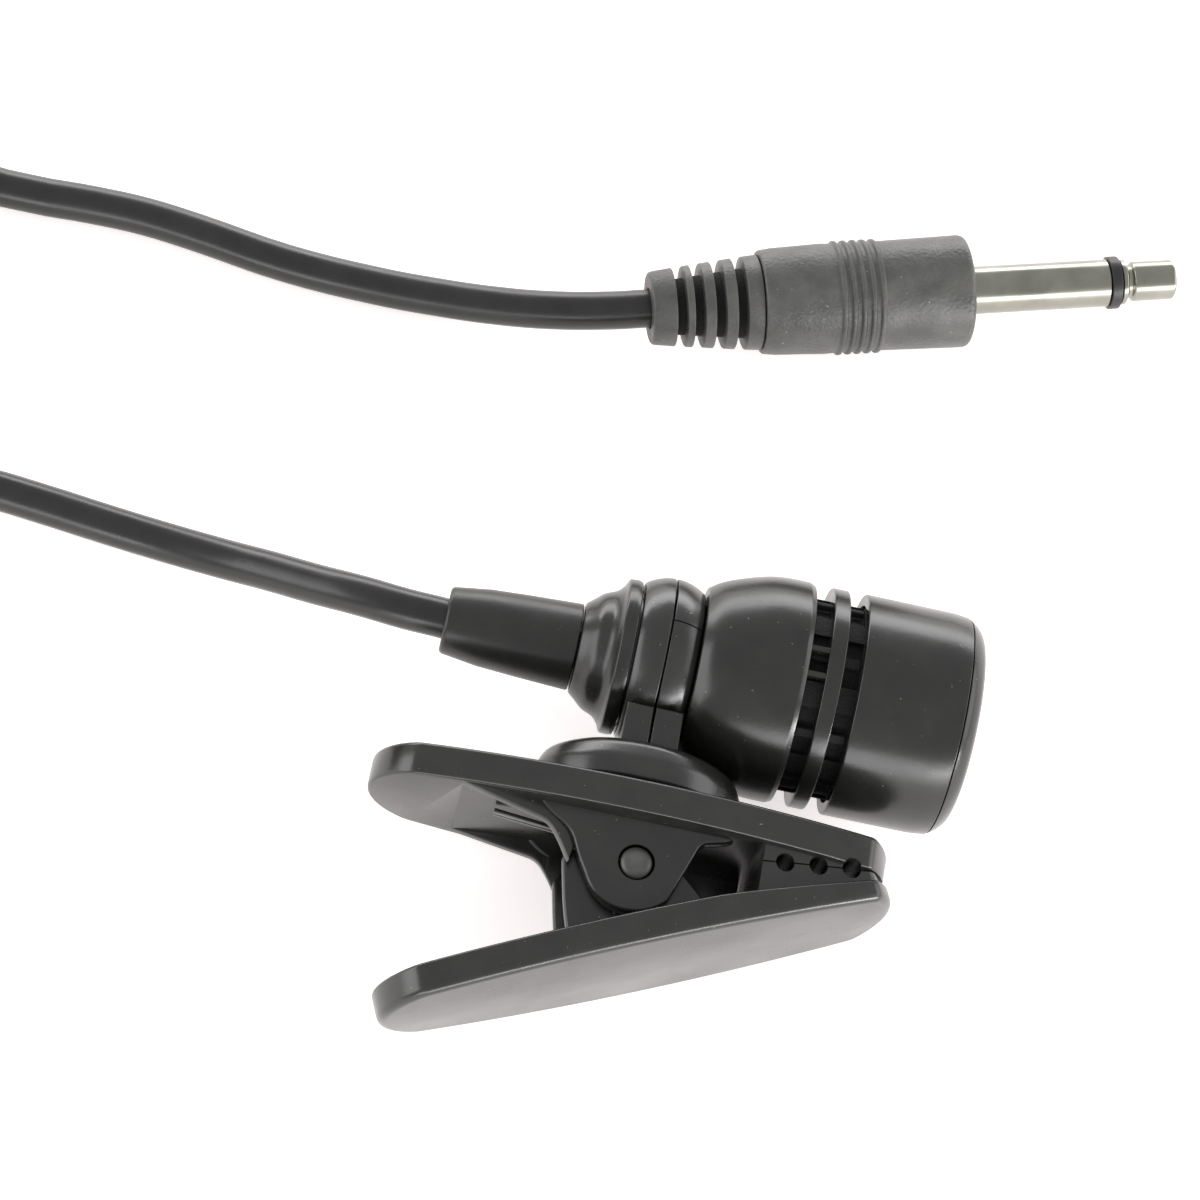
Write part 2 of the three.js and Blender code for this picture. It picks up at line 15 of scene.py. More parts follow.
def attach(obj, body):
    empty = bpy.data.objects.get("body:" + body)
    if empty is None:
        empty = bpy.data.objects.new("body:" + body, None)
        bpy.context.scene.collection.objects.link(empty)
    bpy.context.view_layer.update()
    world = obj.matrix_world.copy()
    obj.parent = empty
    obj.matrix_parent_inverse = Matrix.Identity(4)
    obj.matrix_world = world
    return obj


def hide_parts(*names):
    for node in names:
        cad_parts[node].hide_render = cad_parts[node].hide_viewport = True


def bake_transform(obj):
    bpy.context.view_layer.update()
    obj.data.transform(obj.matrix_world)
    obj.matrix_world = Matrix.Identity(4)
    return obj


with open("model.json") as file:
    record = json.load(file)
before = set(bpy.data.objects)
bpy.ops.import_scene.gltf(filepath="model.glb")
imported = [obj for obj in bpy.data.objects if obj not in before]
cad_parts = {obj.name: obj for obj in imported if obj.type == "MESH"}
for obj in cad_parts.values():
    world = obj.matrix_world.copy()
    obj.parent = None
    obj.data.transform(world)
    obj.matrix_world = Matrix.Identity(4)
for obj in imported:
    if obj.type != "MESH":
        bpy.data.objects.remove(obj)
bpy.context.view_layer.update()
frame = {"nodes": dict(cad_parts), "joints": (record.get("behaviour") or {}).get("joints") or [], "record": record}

MM = 0.001
UP = Vector((0, 0, 1))
JOINTS = {joint["name"]: joint for joint in frame["joints"]}
MOUNTS = {mount["name"]: mount for mount in frame["record"]["mounts"]}
SCENE = bpy.context.scene


# ---- camera ---------------------------------------------------------------------------
AIM = Vector((-0.0043, 0.01502, 0.0052))
DISTANCE = 0.2288
TILT = 24.0  # degrees from straight above, towards the near side
LEFT = 8.0  # degrees to the left
LENS = 100.64


def make_camera():
    left, tilt = math.radians(LEFT), math.radians(TILT)
    side = math.cos(left)
    back = Vector((-math.sin(left), -math.sin(tilt) * side, math.cos(tilt) * side))
    right = Vector((1, 0, 0))
    right = (right - back * right.dot(back)).normalized()
    turn = Matrix((right, back.cross(right), back)).transposed().to_4x4()
    data = bpy.data.cameras.new("camera")
    data.lens = LENS
    data.sensor_width = 36
    data.clip_start, data.clip_end = 0.01, 20
    camera = bpy.data.objects.new("camera", data)
    camera.matrix_world = Matrix.Translation(AIM + back * DISTANCE) @ turn
    SCENE.collection.objects.link(camera)
    SCENE.camera = camera


make_camera()


# ---- assembly frames ------------------------------------------------------------------
def place_of(origin, x_axis, y_axis):
    """The matrix from local millimetres to the row frame."""
    x = Vector(x_axis).normalized()
    y = Vector(y_axis)
    y = (y - x * x.dot(y)).normalized()
    turn = Matrix((x, y, x.cross(y))).transposed().to_4x4()
    return Matrix.Translation(Vector(origin)) @ turn @ Matrix.Scale(MM, 4)


HEAD_AXIS = Vector(JOINTS["ring_spin"]["axis"])
ACROSS = JOINTS["swivel"]["axis"]
ARM_GAP = 24.2  # degrees between the arms when the jaws are shut
ARM_TOP = 5.0  # the upper arm's outer face, from the pin's axis
HEAD = place_of(JOINTS["ring_spin"]["pos_m"], HEAD_AXIS, UP.cross(HEAD_AXIS))
HOLDER = place_of(JOINTS["ring_spin"]["pos_m"], HEAD_AXIS, ACROSS)
UPPER = place_of(JOINTS["jaw_hinge"]["pos_m"], HEAD_AXIS, ACROSS)
LOWER = UPPER @ Matrix.Rotation(math.radians(ARM_GAP), 4, "Z")
PLUG_AXIS = Vector(MOUNTS["plug_tip_face"]["axis"])
PLUG_SIDE = UP.cross(PLUG_AXIS).normalized()
PLUG_FACE_POINT = 2.7  # how far the front face's mount lies from the plug's axis
PLUG_FRONT = Vector(MOUNTS["plug_front_face"]["pos_m"]) - PLUG_SIDE * PLUG_FACE_POINT * MM
PLUG = place_of(PLUG_FRONT, PLUG_AXIS, PLUG_SIDE)
QUARTER_Z = Matrix.Rotation(math.radians(90), 4, "Z")
FACE_Y = (UPPER.translation - HOLDER.translation).dot(Vector(ACROSS)) / MM + ARM_TOP


# ---- materials ------------------------------------------------------------------------
def link(tree, source, target):
    tree.links.new(source, target)


def noise(tree, coordinates, scale, detail=4.0, stretch=(1, 1, 1)):
    mapping = tree.nodes.new("ShaderNodeMapping")
    mapping.inputs["Scale"].default_value = stretch
    link(tree, coordinates, mapping.inputs["Vector"])
    node = tree.nodes.new("ShaderNodeTexNoise")
    node.inputs["Scale"].default_value = scale
    node.inputs["Detail"].default_value = detail
    link(tree, mapping.outputs["Vector"], node.inputs["Vector"])
    return node.outputs["Fac"]


def spread(tree, value, low, high, start=0.3, stop=0.7):
    node = tree.nodes.new("ShaderNodeMapRange")
    for key, number in zip(("From Min", "From Max", "To Min", "To Max"), (start, stop, low, high)):
        node.inputs[key].default_value = number
    link(tree, value, node.inputs["Value"])
    return node.outputs["Result"]


def tint(tree, value, dark, light):
    node = tree.nodes.new("ShaderNodeMix")
    node.data_type = "RGBA"
    node.inputs["A"].default_value = (*dark, 1)
    node.inputs["B"].default_value = (*light, 1)
    link(tree, value, node.inputs["Factor"])
    return node.outputs["Result"]


def finish_of(name, dark, light, rough, bump=0.08, grain=2500.0, specks=0.0, metallic=0.0,
              stretch=(1, 1, 1), patch=160.0, height=0.00002, ior=1.5):
    """A procedural surface: mottled colour, uneven gloss, a fine grain and a little dust."""
    material = bpy.data.materials.new(name)
    material.use_nodes = True
    tree = material.node_tree
    shader = tree.nodes["Principled BSDF"]
    shader.inputs["Metallic"].default_value = metallic
    shader.inputs["IOR"].default_value = ior
    coordinates = tree.nodes.new("ShaderNodeTexCoord").outputs["Object"]
    mottle = spread(tree, noise(tree, coordinates, patch * 3), 0, 1)
    colour = tint(tree, mottle, dark, light)
    if specks:
        dots = spread(tree, noise(tree, coordinates, 3800.0, 1.0), 0, specks, 0.76, 0.84)
        mixer = tree.nodes.new("ShaderNodeMix")
        mixer.data_type = "RGBA"
        mixer.inputs["B"].default_value = (0.5, 0.5, 0.48, 1)
        link(tree, dots, mixer.inputs["Factor"])
        link(tree, colour, mixer.inputs["A"])
        colour = mixer.outputs["Result"]
    link(tree, colour, shader.inputs["Base Color"])
    gloss = spread(tree, noise(tree, coordinates, patch), rough[0], rough[1])
    link(tree, gloss, shader.inputs["Roughness"])
    relief = tree.nodes.new("ShaderNodeBump")
    relief.inputs["Strength"].default_value = bump
    relief.inputs["Distance"].default_value = height
    link(tree, noise(tree, coordinates, grain, 3.0, stretch), relief.inputs["Height"])
    link(tree, relief.outputs["Normal"], shader.inputs["Normal"])
    return material


FINISH = {
    "shell": finish_of("shell", (0.0095, 0.0102, 0.009), (0.0155, 0.0162, 0.0145), (0.2, 0.3), bump=0.25,
                       specks=0.3),
    "clip": finish_of("clip", (0.0105, 0.011, 0.01), (0.0165, 0.0168, 0.0155), (0.2, 0.3), bump=0.3,
                      specks=0.35, ior=1.56),
    "relief": finish_of("relief", (0.009, 0.0095, 0.0085), (0.015, 0.0155, 0.014), (0.3, 0.42), bump=0.4,
                        specks=0.25),
    "cord": finish_of("cord", (0.008, 0.0088, 0.0082), (0.0135, 0.0145, 0.0135), (0.26, 0.36), bump=0.35),
    "plug_body": finish_of("plug_body", (0.046, 0.046, 0.043), (0.086, 0.085, 0.08), (0.36, 0.52),
                           bump=0.9, grain=3600.0, specks=0.6, height=0.00006),
    "nickel": finish_of("nickel", (0.24, 0.24, 0.205), (0.31, 0.305, 0.265), (0.18, 0.26), bump=0.15,
                        metallic=1.0, grain=900.0, stretch=(12, 1, 1)),
    "steel": finish_of("steel", (0.2, 0.2, 0.2), (0.32, 0.32, 0.31), (0.24, 0.38), metallic=1.0),
    "pin": finish_of("pin", (0.05, 0.052, 0.048), (0.13, 0.13, 0.125), (0.32, 0.5), bump=0.9,
                     metallic=0.5, specks=0.5),
    "brass": finish_of("brass", (0.55, 0.42, 0.2), (0.72, 0.58, 0.32), (0.3, 0.45), metallic=1.0),
    "foam": finish_of("foam", (0.003, 0.003, 0.003), (0.01, 0.01, 0.01), (0.9, 1.0), bump=1.0,
                      grain=1800.0, height=0.0002),
    # Very dark matte: the vent mesh's real cloth, and painted shade on the vent tube and at the bottom of the plug
    # boot's grooves.
    "cloth": finish_of("cloth", (0.003, 0.003, 0.003), (0.008, 0.008, 0.008), (0.8, 0.95), bump=1.0,
                       grain=5000.0, height=0.0001),
    "insulator": finish_of("insulator", (0.006, 0.006, 0.006), (0.012, 0.012, 0.012), (0.3, 0.42)),
    "board": finish_of("board", (0.02, 0.11, 0.04), (0.04, 0.17, 0.07), (0.4, 0.5)),
    "red": finish_of("red", (0.3, 0.02, 0.015), (0.42, 0.04, 0.03), (0.4, 0.5)),
    "can": finish_of("can", (0.6, 0.6, 0.6), (0.72, 0.72, 0.72), (0.25, 0.4), metallic=1.0),
}


# ---- mesh helpers ---------------------------------------------------------------------
def fillet(points, steps=5):
    """Rounds each corner that has a third number, its reach in millimetres."""
    rounded = []
    for i, point in enumerate(points):
        here = Vector(point[:2])
        if len(point) < 3:
            rounded.append(here)
            continue
        before = Vector(points[i - 1][:2]) - here
        after = Vector(points[(i + 1) % len(points)][:2]) - here
        reach = min(point[2], before.length * 0.48, after.length * 0.48)
        first, last = here + before.normalized() * reach, here + after.normalized() * reach
        for k in range(steps + 1):
            s = k / steps
            rounded.append(first * (1 - s) ** 2 + here * 2 * s * (1 - s) + last * s * s)
    return rounded


def bridge(bm, rings, closed):
    pairs = list(zip(rings, rings[1:]))
    if closed:
        pairs.append((rings[-1], rings[0]))
    for one, two in pairs:
        count = max(len(one), len(two))
        for k in range(count):
            n = (k + 1) % count
            corners = [one[k % len(one)], one[n % len(one)], two[n % len(two)], two[k % len(two)]]
            corners = list(dict.fromkeys(corners))
            if len(corners) > 2:
                bm.faces.new(corners)


def turned_rings(bm, profile, segments):
    rings = []
    for u, r in fillet(profile):
        if r < 1e-6:
            rings.append([bm.verts.new((u, 0, 0))])
            continue
        angles = [2 * math.pi * k / segments for k in range(segments)]
        rings.append([bm.verts.new((u, r * math.cos(a), r * math.sin(a))) for a in angles])
    return rings


def lathe(profile, segments=96, closed=False):
    """Turned about x from [u, radius] points. Open profiles end on the axis."""
    bm = bmesh.new()
    rings = turned_rings(bm, profile, segments)
    bridge(bm, rings, closed)
    bmesh.ops.recalc_face_normals(bm, faces=bm.faces)
    return bm


def cup(profile, segments=120):
    """A closed profile turned about x that touches the axis at two points in a row."""
    bm = bmesh.new()
    rings = turned_rings(bm, profile, segments)
    first = next(i for i, ring in enumerate(rings) if len(ring) == 1)
    bridge(bm, rings[:first + 1], False)
    bridge(bm, rings[first + 1:] + rings[:1], False)
    bmesh.ops.recalc_face_normals(bm, faces=bm.faces)
    return bm


def inset_ring(outline, inset):
    """The outline moved inwards by inset, which may be a millimetre or less."""
    area = sum(a.x * b.y - b.x * a.y for a, b in zip(outline, outline[1:] + outline[:1]))
    side = 1 if area > 0 else -1
    moved = []
    for i, here in enumerate(outline):
        before = (here - outline[i - 1]).normalized()
        after = (outline[(i + 1) % len(outline)] - here).normalized()
        one, two = Vector((-before.y, before.x)), Vector((-after.y, after.x))
        miter = (one + two) / max(0.4, 1 + one.dot(two))
        moved.append(here + miter * inset * side)
    return moved


def prism(outline, low, high, axis="z", rim=0.15, steps=3, top_rim=None):
    """An outline in (x, y) extruded along z, or in (x, z) along y, with rounded rims."""
    outline = [Vector(p) for p in outline]
    top_rim = rim if top_rim is None else top_rim
    angles = [math.pi / 2 * k / steps for k in range(steps + 1)]
    levels = [(low + rim * (1 - math.cos(a)), rim * (1 - math.sin(a))) for a in angles]
    levels += [(high - top_rim * (1 - math.cos(a)), top_rim * (1 - math.sin(a)))
               for a in reversed(angles)]
    bm = bmesh.new()
    rings = []
    for h, inset in levels:
        ring = inset_ring(outline, inset) if inset > 1e-9 else outline
        rings.append([bm.verts.new((p.x, h, p.y) if axis == "y" else (p.x, p.y, h)) for p in ring])
    bridge(bm, rings, False)
    bm.faces.new(rings[0])
    bm.faces.new(rings[-1])
    bmesh.ops.recalc_face_normals(bm, faces=bm.faces)
    return bm


def plain_block(x, y, z):
    bm = bmesh.new()
    middle = Matrix.Translation(((x[0] + x[1]) / 2, (y[0] + y[1]) / 2, (z[0] + z[1]) / 2))
    size = Matrix.Diagonal((x[1] - x[0], y[1] - y[0], z[1] - z[0], 1))
    bmesh.ops.create_cube(bm, size=1, matrix=middle @ size)
    return bm


def bar_z(x, y, radius, half, segments=40):
    ring = [(x + radius * math.cos(a), y + radius * math.sin(a))
            for a in (2 * math.pi * k / segments for k in range(segments))]
    return prism(ring, -half, half, "z", 0.001, 1)


def moved(bm, matrix):
    bmesh.ops.transform(bm, matrix=matrix, verts=bm.verts)
    return bm


def to_object(bm, name):
    mesh = bpy.data.meshes.new(name)
    bm.to_mesh(mesh)
    bm.free()
    item = bpy.data.objects.new(name, mesh)
    SCENE.collection.objects.link(item)
    return item


def combine(base, others, operation):
    """The exact boolean of solids in local millimetres, which are used up."""
    target = to_object(base, "boolean_base")
    tools = [to_object(other, "boolean_tool") for other in others]
    for tool in tools:
        modifier = target.modifiers.new("boolean", "BOOLEAN")
        modifier.operation = operation
        modifier.solver = "EXACT"
        modifier.object = tool
    bpy.context.view_layer.update()
    graph = bpy.context.evaluated_depsgraph_get()
    result = bmesh.new()
    result.from_mesh(target.evaluated_get(graph).to_mesh())
    for item in [target, *tools]:
        bpy.data.objects.remove(item)
    bmesh.ops.remove_doubles(result, verts=result.verts, dist=1e-4)
    return result


def piece(name, bm, place, body, finish, replaced=(), sharp=34.0):
    item = to_object(moved(bm, place), name)
    item.data.shade_smooth()
    item.data.set_sharp_from_angle(angle=math.radians(sharp))
    item.data.materials.append(FINISH[finish])
    if body:
        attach(item, body)
    if replaced:
        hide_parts(*replaced)
    return item


def sweep(points, radius, sides=16, steps=6):
    """A round wire along a smooth line through the points."""
    points = [Vector(p) for p in points]
    line = []
    padded = [points[0] * 2 - points[1], *points, points[-1] * 2 - points[-2]]
    for i in range(len(points) - 1):
        a, b, c, d = padded[i:i + 4]
        for k in range(steps):
            t = k / steps
            line.append(0.5 * (2 * b + (c - a) * t + (2 * a - 5 * b + 4 * c - d) * t * t
                               + (3 * b - a - 3 * c + d) * t ** 3))
    line.append(points[-1])
    bm = bmesh.new()
    side = (line[1] - line[0]).orthogonal().normalized()
    rings = []
    for i, here in enumerate(line):
        along = (line[min(i + 1, len(line) - 1)] - line[max(i - 1, 0)]).normalized()
        side = (side - along * side.dot(along)).normalized()
        other = along.cross(side)
        ring = []
        for k in range(sides):
            a = 2 * math.pi * k / sides
            ring.append(bm.verts.new(here + (side * math.cos(a) + other * math.sin(a)) * radius))
        rings.append(ring)
    bridge(bm, rings, False)
    bm.faces.new(rings[0])
    bm.faces.new(rings[-1])
    bmesh.ops.recalc_face_normals(bm, faces=bm.faces)
    return bm


# ---- cord -----------------------------------------------------------------------------
CORD_DIAMETER = 2.75
RELIEF_BACK = -14.67
BOOT_BACK = -23.2
HIDDEN_ENDS = (2.2, 0.9)  # how far the cord's end points lie inside the relief and the boot
COIL_CENTRE = (-70.30, 43.52)
COIL_RADII = (19.05, 12.35)
LAYER_SWEEP = 831.5
STEP_SWEEP = 45.0
COIL_START = 281.0
LAYERS, LAYER_POINTS = 4, 36
STEP_POINTS = 3
LAYER_RISE = 2.8
FIRST_LAYER_Z = 1.4
# From the strain relief to the coil, as in the CAD apart from the last point.
MIC_LEAD = [
    (-15.55, 12.72, 7.55), (-17.7, 13.37, 7.4), (-20.7, 14.66, 6.7), (-23.7, 16.17, 5.3),
    (-26.6, 17.77, 3.85), (-29.6, 19.27, 2.5), (-33.6, 20.97, 1.55), (-37.7, 22.42, 1.4),
    (-41.8, 23.87, 1.4), (-45.9, 25.22, 1.4), (-49.9, 26.22, 1.4), (-54.2, 26.72, 1.4),
    (-60.0, 26.0, 1.4),
]
# From the coil's top layer to the plug. The nine points nearest the coil differ from the CAD's.
PLUG_LEAD = [
    (-57.3, 58.0, 9.3), (-55.0, 56.6, 8.1), (-53.0, 54.9, 6.4), (-51.2, 53.0, 4.5),
    (-49.2, 51.1, 2.8), (-46.6, 49.5, 1.7), (-43.0, 48.55, 1.4), (-38.8, 47.75, 1.4),
    (-35.0, 46.85, 1.4), (-31.4, 45.62, 1.4),
    (-25.0, 43.17, 1.4), (-18.6, 41.42, 1.4), (-14.3, 40.5, 1.5), (-10.1, 39.52, 2.1),
    (-6.0, 38.75, 2.9), (-1.8, 38.52, 3.4), (0.43, 38.62, 3.53),
]


def coil_points():
    """Four flat layers wound in and out, clockwise, each lying on the one below."""
    outer, inner = COIL_RADII
    points = []
    angle = COIL_START
    z = FIRST_LAYER_Z
    for layer in range(LAYERS):
        top = layer == LAYERS - 1
        first, last = (outer, inner) if layer % 2 == 0 else (inner, outer)
        for k in range(LAYER_POINTS + top):
            s = k / LAYER_POINTS
            points.append((angle - LAYER_SWEEP * s, first + (last - first) * s, z))
        angle -= LAYER_SWEEP
        if not top:
            for k in range(STEP_POINTS):
                s = k / STEP_POINTS
                points.append((angle - STEP_SWEEP * s, last, z + LAYER_RISE * s * s * (3 - 2 * s)))
            angle -= STEP_SWEEP
            z += LAYER_RISE
    x, y = COIL_CENTRE
    return [(x + r * math.cos(math.radians(a)), y + r * math.sin(math.radians(a)), z)
            for a, r, z in points]


def make_cord():
    inside = [HEAD @ Vector((RELIEF_BACK + depth, 0, 0)) for depth in HIDDEN_ENDS]
    route = [*inside, *(Vector(p) * MM for p in [*MIC_LEAD, *coil_points(), *PLUG_LEAD])]
    route += [PLUG @ Vector((BOOT_BACK + depth, 0, 0)) for depth in reversed(HIDDEN_ENDS)]
    data = bpy.data.curves.new("cord", "CURVE")
    data.dimensions = "3D"
    data.bevel_depth = CORD_DIAMETER / 2 * MM
    data.bevel_resolution = 5
    data.resolution_u = 4
    data.use_fill_caps = True
    spline = data.splines.new("BEZIER")
    spline.bezier_points.add(len(route) - 1)
    for point, place in zip(spline.bezier_points, route):
        point.co = place
        point.handle_left_type = point.handle_right_type = "AUTO"
    cord = bpy.data.objects.new("cord", data)
    data.materials.append(FINISH["cord"])
    SCENE.collection.objects.link(cord)
    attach(cord, "head")
    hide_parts("cord_mic_side", "cord_plug_side", "cord_coil")
    return cord


cord = make_cord()


# ---- microphone head ------------------------------------------------------------------
HEAD_R = 7.55
NECK_R = 4.5
SLOT_1 = (9.1, 10.3)
SLOT_2 = (11.4, 12.6)
SEAM_U = 19.75
FRONT_U = 20.95
CAVITY_R = 6.7
HOLE_ROWS, HOLE_PITCH = 3, 2.1
VENT_BARS = 8
VENT_RING_R = 7.5
BRIDGES = (-2, 12)  # degrees round the head from the top, of the two bridges in the first slot


def make_shells():
    rear = [
        (-3.2, NECK_R, 0.1), (2.15, NECK_R, 0.15), (2.15, 5.75, 0.12), (2.85, 6.25, 0.5), (3.5, 6.56, 0.4),
        (4.8, 7.04, 0.7), (6.15, 7.42, 0.7), (7.3, HEAD_R, 0.6), (SLOT_1[0] - 0.36, HEAD_R, 0.06),
        (SLOT_1[0], HEAD_R - 0.16, 0.05),
        (SLOT_1[0], CAVITY_R, 0.1), (6.6, CAVITY_R), (4.4, 5.6), (3.3, 2.9), (-3.2, 2.9, 0.1),
    ]
    piece("rear_shell_skin", lathe(rear, 144, True), HEAD, "head", "shell", ["rear_shell"])
    front = [
        (SLOT_2[1], CAVITY_R + 0.05, 0.1), (SLOT_2[1], HEAD_R, 0.16), (18.7, HEAD_R, 0.6),
        (SEAM_U, 7.42, 0.07), (SEAM_U, CAVITY_R + 0.05, 0.05),
    ]
    piece("front_shell_skin", lathe(front, 144, True), HEAD, "head", "shell", ["front_shell"])


def make_grille():
    cavity = CAVITY_R - 0.1
    cap = cup([
        (18.9, cavity), (SEAM_U + 0.08, cavity), (SEAM_U + 0.08, 7.36, 0.07), (20.25, 7.08, 0.4),
        (20.72, 6.6, 0.4), (FRONT_U, 5.9, 0.3), (FRONT_U, 0), (20.1, 0), (20.1, 6.1), (18.9, 6.1),
    ])
    holes = []
    for row in range(HOLE_ROWS):
        count = max(1, 6 * row)
        for i in range(count):
            angle = 2 * math.pi * i / count
            shift = (0, row * HOLE_PITCH * math.cos(angle), row * HOLE_PITCH * math.sin(angle))
            hole = lathe([(19.0, 0), (19.0, 0.6), (20.8, 0.6), (21.4, 0.95), (21.4, 0)], 32)
            holes.append(moved(hole, Matrix.Translation(shift)))
    cap = combine(cap, holes, "DIFFERENCE")
    piece("front_grille_cap", cap, HEAD, "head", "shell", ["front_grille"])


def make_vents():
    tube = lathe([(7.8, 6.15), (7.8, 6.55), (14, 6.55), (14, 6.15)], 144, True)
    windows = []
    for i in range(VENT_BARS):
        turn = Matrix.Rotation(2 * math.pi * i / VENT_BARS, 4, "X")
        for slot in (SLOT_1, SLOT_2):
            windows.append(moved(plain_block(slot, (-1.7, 1.7), (HEAD_R - 2.5, HEAD_R + 0.5)), turn))
    tube = combine(tube, windows, "DIFFERENCE")
    bars = []
    for i in range(VENT_BARS):
        bar = prism([(SLOT_1[0] + 0.1, -0.3), (SLOT_2[1] - 0.1, -0.3), (SLOT_2[1] - 0.1, 0.3),
                     (SLOT_1[0] + 0.1, 0.3)], 6.25, 6.7, "z", 0.1, 2)
        bars.append(moved(bar, Matrix.Rotation(math.radians(360 / VENT_BARS * i), 4, "X")))
    # The vent tube is the plastic cage, given the near-black matte finish as painted shade so that the slots look
    # black.
    piece("vent_tube", combine(tube, bars, "UNION"), HEAD, "head", "cloth", ["vent_cage"])
    ring = lathe([(SLOT_1[1], 6.5), (SLOT_1[1], VENT_RING_R, 0.14), (SLOT_2[0], VENT_RING_R, 0.14),
                  (SLOT_2[0], 6.5)], 144, True)
    nubs = []
    for angle in BRIDGES:
        nub = prism([(SLOT_1[0] - 0.1, -0.2), (SLOT_1[1] + 0.2, -0.2), (SLOT_1[1] + 0.2, 0.2),
                     (SLOT_1[0] - 0.1, 0.2)], 6.4, 7.35, "z", 0.08, 2)
        nubs.append(moved(nub, Matrix.Rotation(math.radians(angle), 4, "X")))
    piece("vent_ring", combine(ring, nubs, "UNION"), HEAD, "head", "shell")
    cloth = lathe([(8.6, 5.9), (8.6, 6.1), (12.8, 6.1), (12.8, 5.9)], 96, True)
    piece("vent_mesh", cloth, HEAD, "head", "cloth", ["vent_cloth"])


def make_tail():
    collar = [
        (-5.65, 1.7), (-5.65, 3.05, 0.12), (-5.2, 3.4, 0.3), (-4.6, 3.95, 0.3), (-3.7, 4.3, 0.3),
        (-3.32, 4.75, 0.15), (-3.1, 5.25, 0.12), (-2.5, 5.3, 0.15), (-2.2, 5.2, 0.08), (-2.2, 4.62),
        (-3.35, 4.62), (-3.35, 3.3), (-4.5, 3.3), (-4.5, 1.7),
    ]
    piece("collar_skin", lathe(collar, 120, True), HEAD, "head", "shell", ["rear_collar"])
    relief = [
        (-12.0, 0), (-12.0, 1.45), (RELIEF_BACK, 1.48, 0.1), (RELIEF_BACK, 2.25, 0.3), (-12, 2.62),
        (-9.4, 2.78), (-5.75, 2.95, 0.15), (-5.75, 1.55), (-4.4, 1.55), (-4.4, 2.7), (-3.5, 2.7), (-3.5, 0),
    ]
    piece("strain_relief_skin", lathe(relief, 96), HEAD, "head", "relief", ["strain_relief"])


make_shells()
make_grille()
make_vents()
make_tail()


# ---- holder ---------------------------------------------------------------------------
RING_BORE_R = 4.62


def ring_half(front):
    side = 1 if front else -1
    start = 0.03 if front else -0.09
    skin = [(start, 5.9, 0.1), (0.6 * side, 5.86, 0.3), (1.15 * side, 5.7, 0.3), (1.7 * side, 5.45, 0.25),
            (2.05 * side, 5.2, 0.12), (2.05 * side, RING_BORE_R, 0.05), (start, RING_BORE_R)]
    ring = lathe(skin, 128, True)
    near, far = (start, 1.9) if front else (-1.9, start)
    foot = prism([(near, FACE_Y + 2.85), (far, FACE_Y + 2.85), (far, -4.6), (near, -4.6)],
                 -4.2, 4.2, "z", 0.15)
    bore = lathe([(-4, 0), (-4, RING_BORE_R), (4, RING_BORE_R), (4, 0)], 128)
    solid = combine(combine(ring, [foot], "UNION"), [bore], "DIFFERENCE")
    if front:
        groove = moved(plain_block((-0.5, 3), (-0.05, 0.05), (5.0, 6.5)),
                       Matrix.Rotation(math.radians(-10), 4, "X"))
        solid = combine(solid, [groove], "DIFFERENCE")
    return solid


def swivel_dome():
    profile = [(0.1, 0), (0.1, 6.2, 0.1), (0.3, 6.38, 0.1), (1.5, 6.4, 0.3), (2.55, 6.0, 0.3),
               (2.95, 5.4, 0.2), (3.28, 4.5, 0.25), (3.5, 3.3, 0.3), (3.55, 0)]
    dome = moved(lathe(profile, 128), QUARTER_Z)
    moved(dome, Matrix.Diagonal((1.09, 1, 1, 1)))
    pocket = plain_block((-2.05, 2.05), (2.75, 5), (-4.35, 4.35))
    socket = moved(lathe([(-2, 0), (-2, 1.5), (2, 1.5), (2, 0)], 48), QUARTER_Z)
    dome = combine(dome, [pocket, socket], "DIFFERENCE")
    return moved(dome, Matrix.Translation((0, FACE_Y, 0)))


def make_holder():
    for name, front in (("ring_front_half", True), ("ring_rear_half", False)):
        piece(name + "_skin", ring_half(front), HOLDER, "holder", "clip", [name])
    piece("swivel_dome", swivel_dome(), HOLDER, "holder", "clip", ["swivel_base"])
    rivet = lathe([(-2.05, 0), (-2.05, 2.3, 0.25), (-1.5, 2.3, 0.1), (-1.35, 1.4), (1.85, 1.4, 0.1),
                   (1.85, 0)], 64)
    moved(rivet, Matrix.Translation((0, FACE_Y, 0)) @ QUARTER_Z)
    piece("rivet", rivet, HOLDER, "holder", "steel", ["swivel_rivet"])


make_holder()


# ---- clip -----------------------------------------------------------------------------
ARM_WIDTH = 13.3
ARM_REAR, REAR_CORNER = -17.9, -15.2
FRONT_CORNER, ARM_FRONT = 15.0, 16.5
ARM_BOW = 0.0078
UPPER_FACE = (2.8, ARM_TOP)
LOWER_FACE = (-5.7, -3.6)
UPPER_EARS = (3.6, 4.8)
LOWER_EARS = (2.5, 3.4)
THIN_FROM, THIN_RATE = 5.0, 0.07  # the lower arm's plate gets thinner towards the jaw
BITE_SLOPE = math.tan(math.radians(9.7))
BITE_HEIGHT = 0.21
JAW_START = 7.9
FIRST_TOOTH, TOOTH_PITCH, TOOTH_R = 9.35, 2.2, 0.62
JAW_INSET = 0.45  # how far the jaw blocks stand back from the plates' outline
PIN_HOLE_R = 1.2
PIN_R, PIN_HALF = 1.05, 4.95
SPRING_R, SPRING_HALF, SPRING_TURNS = 1.5, 1.7, 4
WIRE_R = 0.25


def half_width(x, inset):
    middle = (REAR_CORNER + FRONT_CORNER) / 2
    return ARM_WIDTH / 2 - ARM_BOW * (x - middle) ** 2 - inset


